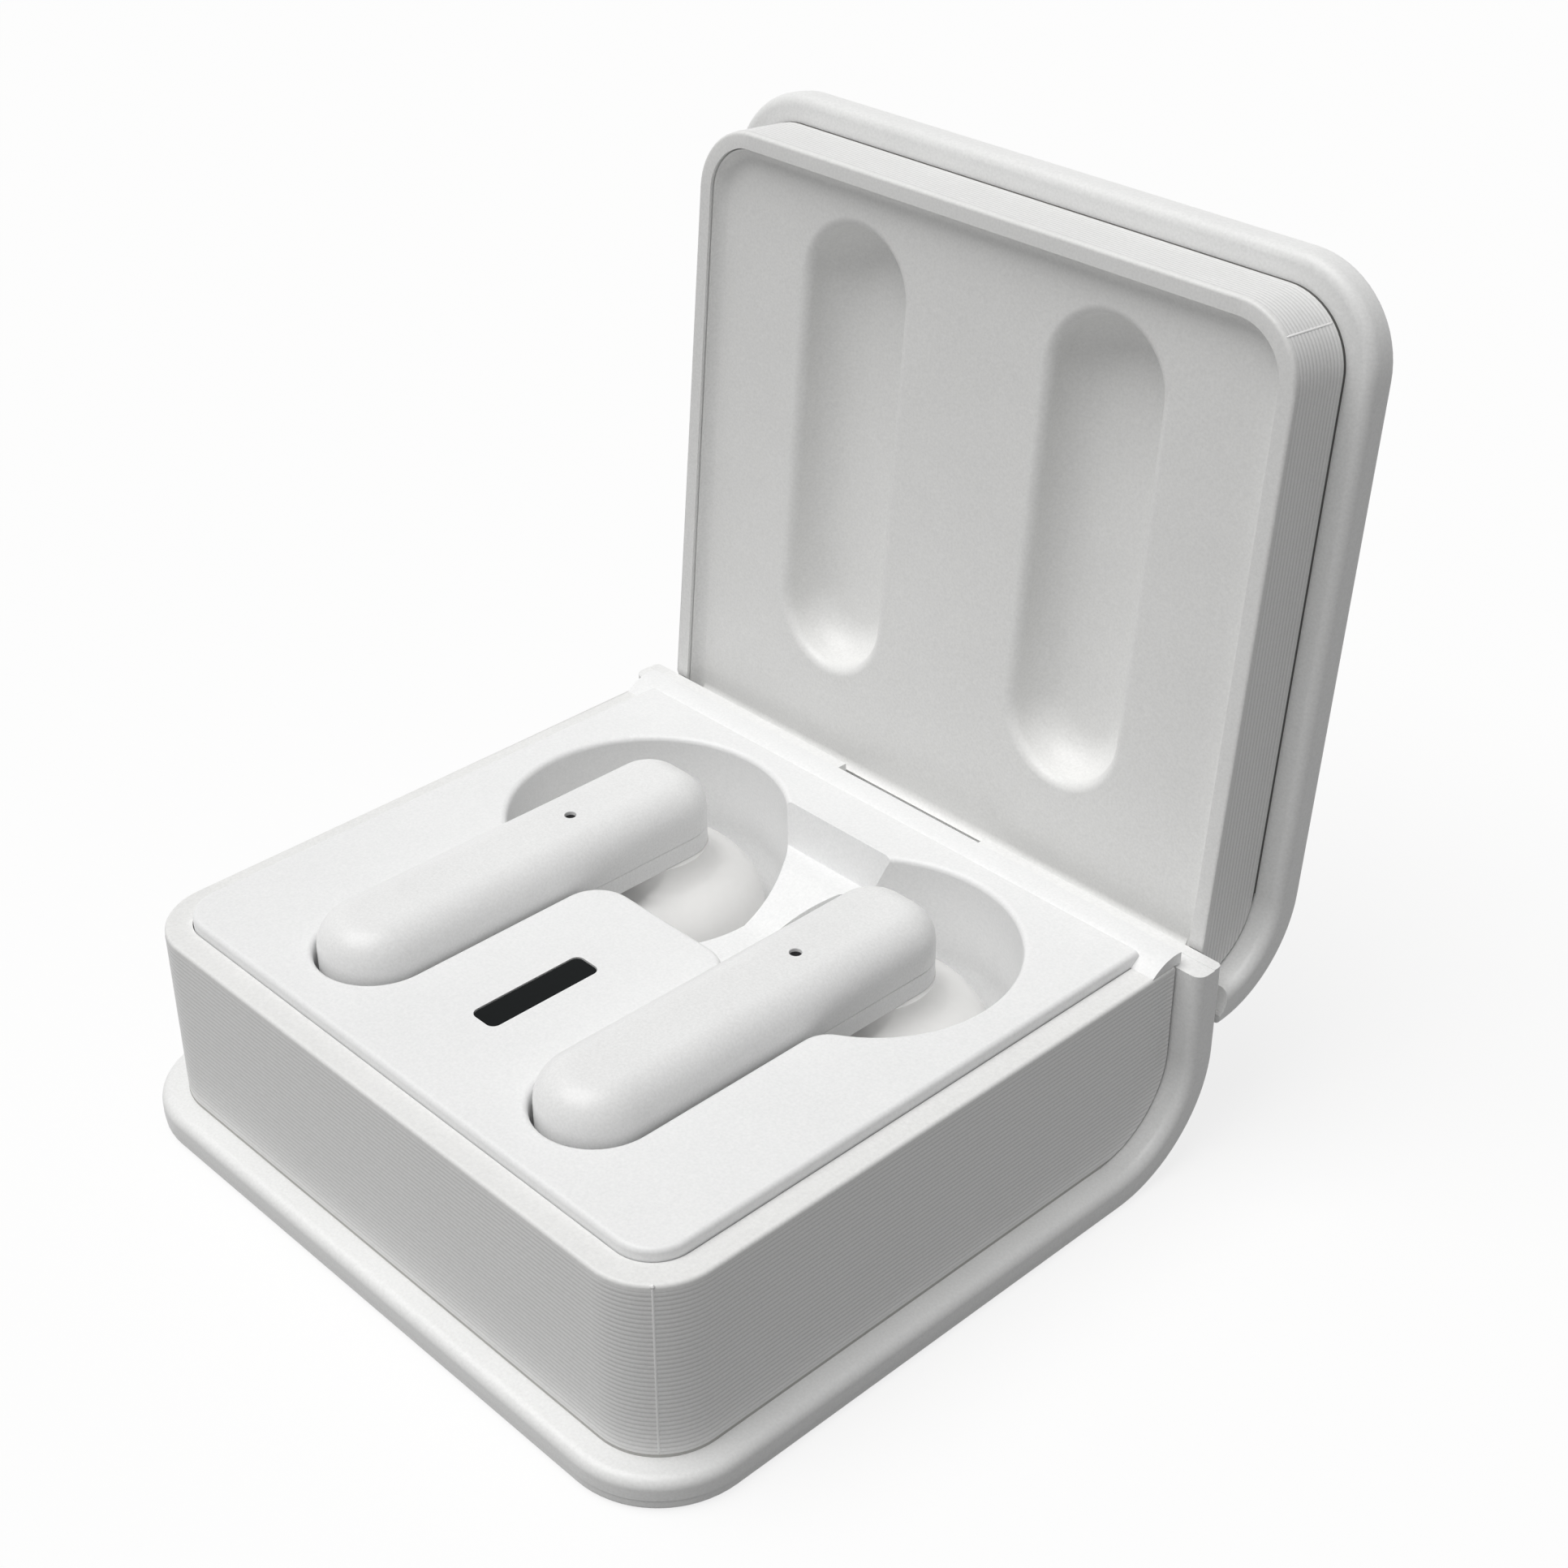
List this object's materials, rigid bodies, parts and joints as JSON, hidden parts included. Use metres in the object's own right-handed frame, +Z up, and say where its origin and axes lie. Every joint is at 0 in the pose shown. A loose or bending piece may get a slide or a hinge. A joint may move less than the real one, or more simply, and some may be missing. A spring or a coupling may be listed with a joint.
{
  "type": "wireless earbuds case",
  "caption": "Book-shaped white charging case with a hinged lid, ribbed page edges, a tray with finger bowls, a small display window and a pair of stem earbuds.",
  "frame": {"origin": "middle of the flat underside of the base, on the surface it stands on, half way between the page block's front and rear faces", "axes": "+X along the hinge to the right, +Y from the front to the spine, +Z up; the lid is stored open"},
  "size_m": [0.0602, 0.0669, 0.0649],
  "materials": {
    "case_white": "satin moulded plastic",
    "page_white": "ribbed moulded plastic",
    "tray_white": "satin moulded plastic",
    "liner_white": "satin moulded plastic",
    "window_black": "polished",
    "module_black": "matt",
    "board_green": "solder mask",
    "cell_foil": "foil",
    "socket_steel": "drawn",
    "contact_gold": "gold plated",
    "spring_steel": "drawn wire",
    "magnet_metal": "nickel plated",
    "screw_steel": "zinc plated",
    "pin_steel": "ground",
    "bud_white": "polished moulded plastic",
    "bud_cream": "polished moulded plastic",
    "grille_steel": "perforated sheet"
  },
  "bodies": {
    "base": {"base_outer_plate": "case_white", "base_cover": "case_white", "base_page_block": "page_white", "tray": "tray_white", "display_window": "window_black", "display_block": "module_black", "main_board": "board_green", "board_parts": "module_black", "case_battery": "cell_foil", "usb_socket": "socket_steel", "usb_board": "board_green", "left_contact_block": "module_black", "right_contact_block": "module_black", "left_contact_springs": "spring_steel", "right_contact_springs": "spring_steel", "bud_magnets": "magnet_metal", "base_magnet": "magnet_metal", "cover_screws": "screw_steel", "hinge_pin": "pin_steel"},
    "lid": {"lid_outer_plate": "case_white", "lid_cover": "case_white", "lid_page_block": "page_white", "lid_liner": "liner_white", "lid_magnet": "magnet_metal"},
    "left_bud": {"left_stem_top": "bud_white", "left_stem_bottom": "bud_white", "left_head": "bud_cream", "left_grille": "grille_steel", "left_speaker": "module_black", "left_bud_battery": "cell_foil", "left_bud_board": "board_green", "left_microphone": "module_black", "left_bud_contacts": "contact_gold", "left_bud_magnet": "magnet_metal"},
    "right_bud": {"right_stem_top": "bud_white", "right_stem_bottom": "bud_white", "right_head": "bud_cream", "right_grille": "grille_steel", "right_speaker": "module_black", "right_bud_battery": "cell_foil", "right_bud_board": "board_green", "right_microphone": "module_black", "right_bud_contacts": "contact_gold", "right_bud_magnet": "magnet_metal"},
    "left_pin_front": {"left_contact_front": "contact_gold"},
    "left_pin_rear": {"left_contact_rear": "contact_gold"},
    "right_pin_front": {"right_contact_front": "contact_gold"},
    "right_pin_rear": {"right_contact_rear": "contact_gold"}
  },
  "joints": [
    {"name": "lid_hinge", "type": "hinge", "parent": "base", "child": "lid", "pos_m": [0, 0.02474, 0.01438], "axis": [-1, 0, 0], "range_deg": [-95, 0]},
    {"name": "left_bud_lift", "type": "slide", "parent": "base", "child": "left_bud", "axis": [0, 0, 1], "range_m": [0, 0.035]},
    {"name": "right_bud_lift", "type": "slide", "parent": "base", "child": "right_bud", "axis": [0, 0, 1], "range_m": [0, 0.035]},
    {"name": "left_pin_front_press", "type": "slide", "parent": "base", "child": "left_pin_front", "axis": [0, 0, 1], "range_m": [-0.0008, 0], "stiffness_N_per_m": 300, "springref_m": 0.0004},
    {"name": "left_pin_rear_press", "type": "slide", "parent": "base", "child": "left_pin_rear", "axis": [0, 0, 1], "range_m": [-0.0008, 0], "stiffness_N_per_m": 300, "springref_m": 0.0004},
    {"name": "right_pin_front_press", "type": "slide", "parent": "base", "child": "right_pin_front", "axis": [0, 0, 1], "range_m": [-0.0008, 0], "stiffness_N_per_m": 300, "springref_m": 0.0004},
    {"name": "right_pin_rear_press", "type": "slide", "parent": "base", "child": "right_pin_rear", "axis": [0, 0, 1], "range_m": [-0.0008, 0], "stiffness_N_per_m": 300, "springref_m": 0.0004}
  ]
}
